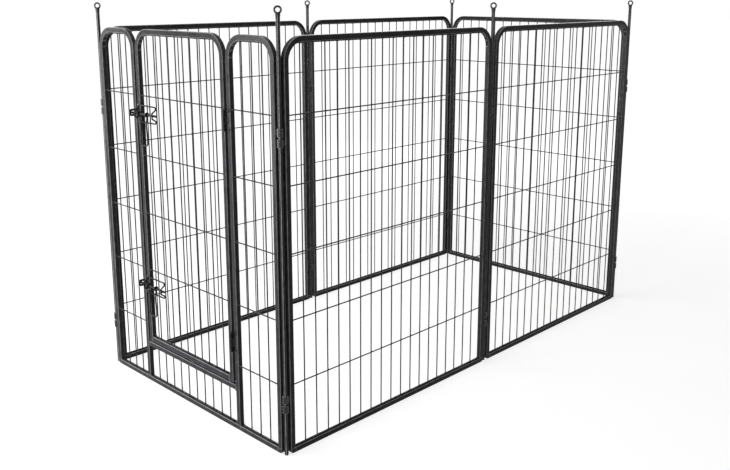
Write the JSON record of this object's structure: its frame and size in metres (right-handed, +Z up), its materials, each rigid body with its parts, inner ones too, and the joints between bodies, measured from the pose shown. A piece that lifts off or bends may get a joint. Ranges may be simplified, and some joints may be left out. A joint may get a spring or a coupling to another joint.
{
  "type": "pet playpen",
  "caption": "Free-standing rectangular metal playpen of hinged mesh wall panels on lift-out corner pins, with a latched swing door in one short wall.",
  "frame": {"origin": "on the floor, at the centre of the outline's bounding box", "axes": "+Z up, +X along the long walls towards the end wall without a door, +Y towards the back long wall"},
  "size_m": [1.592, 0.795, 1.0665],
  "materials": {
    "frame_coat": "black powder coat, fine hammered texture",
    "wire_coat": "black powder coat, thin",
    "pin_coat": "semi-gloss black coat",
    "hardware_coat": "satin black coat"
  },
  "bodies": {
    "front_left_wall": {"front_left_frame": "frame_coat", "front_left_bottom_rail": "frame_coat", "front_left_upright_wires": "wire_coat", "front_left_cross_wires": "wire_coat", "front_left_hinge_eyes": "frame_coat"},
    "front_right_wall": {"front_right_frame": "frame_coat", "front_right_bottom_rail": "frame_coat", "front_right_upright_wires": "wire_coat", "front_right_cross_wires": "wire_coat", "front_right_hinge_eyes": "frame_coat"},
    "right_end_wall": {"right_end_frame": "frame_coat", "right_end_bottom_rail": "frame_coat", "right_end_upright_wires": "wire_coat", "right_end_cross_wires": "wire_coat", "right_end_hinge_eyes": "frame_coat"},
    "back_right_wall": {"back_right_frame": "frame_coat", "back_right_bottom_rail": "frame_coat", "back_right_upright_wires": "wire_coat", "back_right_cross_wires": "wire_coat", "back_right_hinge_eyes": "frame_coat"},
    "back_left_wall": {"back_left_frame": "frame_coat", "back_left_bottom_rail": "frame_coat", "back_left_upright_wires": "wire_coat", "back_left_cross_wires": "wire_coat", "back_left_hinge_eyes": "frame_coat"},
    "door_wall": {"left_bay_frame": "frame_coat", "right_bay_frame": "frame_coat", "left_bay_wires": "wire_coat", "right_bay_wires": "wire_coat", "door_wall_bottom_rail": "frame_coat", "threshold_tube": "frame_coat", "threshold_wires": "wire_coat", "door_wall_hinge_eyes": "frame_coat", "fixed_hinge_leaves": "hardware_coat", "door_hinge_pins": "hardware_coat", "latch_keepers": "hardware_coat"},
    "door": {"door_frame": "frame_coat", "door_bottom_rail": "frame_coat", "door_upright_wires": "wire_coat", "door_cross_wires": "wire_coat", "door_hinge_leaves": "hardware_coat", "upper_latch_guide": "hardware_coat", "lower_latch_guide": "hardware_coat"},
    "upper_bolt": {"upper_bolt": "hardware_coat"},
    "upper_latch_handle": {"upper_latch_handle": "hardware_coat"},
    "lower_bolt": {"lower_bolt": "hardware_coat"},
    "lower_latch_handle": {"lower_latch_handle": "hardware_coat"},
    "front_left_pin": {"front_left_pin": "pin_coat"},
    "front_right_pin": {"front_right_pin": "pin_coat"},
    "right_end_pin": {"right_end_pin": "pin_coat"},
    "back_right_pin": {"back_right_pin": "pin_coat"},
    "back_left_pin": {"back_left_pin": "pin_coat"},
    "door_wall_pin": {"door_wall_pin": "pin_coat"}
  },
  "joints": [
    {"name": "front_fold", "type": "hinge", "parent": "front_left_wall", "child": "front_right_wall", "pos_m": [0.0085, -0.39, 0.5], "axis": [0, 0, 1], "range_deg": [-40, 110]},
    {"name": "right_front_fold", "type": "hinge", "parent": "front_right_wall", "child": "right_end_wall", "pos_m": [0.7885, -0.39, 0.5], "axis": [0, 0, 1], "range_deg": [-55, 20]},
    {"name": "right_back_fold", "type": "hinge", "parent": "right_end_wall", "child": "back_right_wall", "pos_m": [0.7885, 0.39, 0.5], "axis": [0, 0, 1], "range_deg": [-55, 20]},
    {"name": "back_fold", "type": "hinge", "parent": "back_right_wall", "child": "back_left_wall", "pos_m": [0.0085, 0.39, 0.5], "axis": [0, 0, 1], "range_deg": [-40, 110]},
    {"name": "left_front_fold", "type": "hinge", "parent": "front_left_wall", "child": "door_wall", "pos_m": [-0.7715, -0.39, 0.5], "axis": [0, 0, 1], "range_deg": [-20, 55]},
    {"name": "door_swing", "type": "hinge", "parent": "door_wall", "child": "door", "pos_m": [-0.783, -0.198, 0.5], "axis": [0, 0, 1], "range_deg": [0, 165]},
    {"name": "upper_bolt_slide", "type": "slide", "parent": "door", "child": "upper_bolt", "axis": [0, -1, 0], "range_m": [0, 0.025]},
    {"name": "upper_handle_lift", "type": "hinge", "parent": "upper_bolt", "child": "upper_latch_handle", "pos_m": [-0.7865, 0.1555, 0.777], "axis": [0, 1, 0], "range_deg": [0, 110]},
    {"name": "lower_bolt_slide", "type": "slide", "parent": "door", "child": "lower_bolt", "axis": [0, -1, 0], "range_m": [0, 0.025]},
    {"name": "lower_handle_lift", "type": "hinge", "parent": "lower_bolt", "child": "lower_latch_handle", "pos_m": [-0.7865, 0.1555, 0.296], "axis": [0, 1, 0], "range_deg": [0, 110]},
    {"name": "front_left_pin_lift", "type": "slide", "parent": "front_left_wall", "child": "front_left_pin", "axis": [0, 0, 1], "range_m": [0, 0.85]},
    {"name": "front_right_pin_lift", "type": "slide", "parent": "front_right_wall", "child": "front_right_pin", "axis": [0, 0, 1], "range_m": [0, 0.85]},
    {"name": "right_end_pin_lift", "type": "slide", "parent": "right_end_wall", "child": "right_end_pin", "axis": [0, 0, 1], "range_m": [0, 0.85]},
    {"name": "back_right_pin_lift", "type": "slide", "parent": "back_right_wall", "child": "back_right_pin", "axis": [0, 0, 1], "range_m": [0, 0.85]},
    {"name": "back_left_pin_lift", "type": "slide", "parent": "back_left_wall", "child": "back_left_pin", "axis": [0, 0, 1], "range_m": [0, 0.85]},
    {"name": "door_wall_pin_lift", "type": "slide", "parent": "door_wall", "child": "door_wall_pin", "axis": [0, 0, 1], "range_m": [0, 0.85]}
  ],
  "couplings": [
    {"joint": "right_front_fold", "follows": "front_fold", "ratio": -0.5},
    {"joint": "right_back_fold", "follows": "front_fold", "ratio": -0.5},
    {"joint": "back_fold", "follows": "front_fold", "ratio": 1},
    {"joint": "left_front_fold", "follows": "front_fold", "ratio": 0.5}
  ]
}
